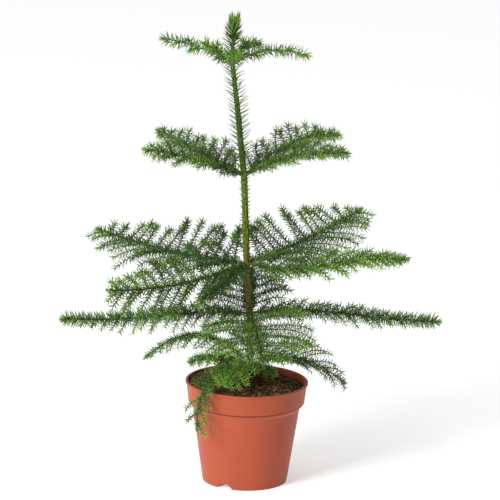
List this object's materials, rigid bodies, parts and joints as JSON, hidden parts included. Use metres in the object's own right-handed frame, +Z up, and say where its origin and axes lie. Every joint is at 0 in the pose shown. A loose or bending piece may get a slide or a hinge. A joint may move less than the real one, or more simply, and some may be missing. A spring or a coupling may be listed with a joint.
{
  "type": "potted norfolk island pine",
  "caption": "Young Norfolk Island pine with tiers of flat needle-clad branches on a slim leaning stem, in a tapered terracotta-coloured plastic nursery pot filled with soil.",
  "frame": {"origin": "centre of the pot's flat underside, on the surface it stands on", "axes": "+Z up along the pot's axis; +X to the right and -Y towards the viewer in the front view"},
  "size_m": [0.376, 0.2208, 0.4658],
  "materials": {
    "pot": "satin moulded, terracotta colour",
    "soil": "damp peat and coir mix",
    "trunk": "young ridged bark, green above",
    "bough": "young green-brown bark",
    "foliage": "soft curved needles"
  },
  "bodies": {
    "root": {"pot": "pot", "soil": "soil", "tier1_back_bough": "bough", "tier1_back_foliage": "foliage", "tier1_front_bough": "bough", "tier1_front_foliage": "foliage", "tier1_front_right_bough": "bough", "tier1_front_right_foliage": "foliage", "tier1_hanging_bough": "bough", "tier1_hanging_foliage": "foliage", "tier1_left_bough": "bough", "tier1_left_foliage": "foliage", "tier1_left_front_bough": "bough", "tier1_left_front_foliage": "foliage", "tier1_right_bough": "bough", "tier1_right_foliage": "foliage", "tier2_back_bough": "bough", "tier2_back_foliage": "foliage", "tier2_front_bough": "bough", "tier2_front_foliage": "foliage", "tier2_left_bough": "bough", "tier2_left_foliage": "foliage", "tier2_right_bough": "bough", "tier2_right_foliage": "foliage", "tier3_front_left_bough": "bough", "tier3_front_left_foliage": "foliage", "tier3_left_back_bough": "bough", "tier3_left_back_foliage": "foliage", "tier3_left_front_bough": "bough", "tier3_left_front_foliage": "foliage", "tier3_right_back_bough": "bough", "tier3_right_back_foliage": "foliage", "tier3_right_front_bough": "bough", "tier3_right_front_foliage": "foliage", "tier4_left_back_bough": "bough", "tier4_left_back_foliage": "foliage", "tier4_left_front_bough": "bough", "tier4_left_front_foliage": "foliage", "tier4_right_back_bough": "bough", "tier4_right_back_foliage": "foliage", "tier4_right_front_bough": "bough", "tier4_right_front_foliage": "foliage", "tier5_back_bough": "bough", "tier5_back_foliage": "foliage", "tier5_front_bough": "bough", "tier5_front_foliage": "foliage", "tier5_front_left_bough": "bough", "tier5_front_left_foliage": "foliage", "tier5_left_bough": "bough", "tier5_left_foliage": "foliage", "tier5_right_bough": "bough", "tier5_right_foliage": "foliage", "trunk": "trunk"}
  },
  "joints": []
}
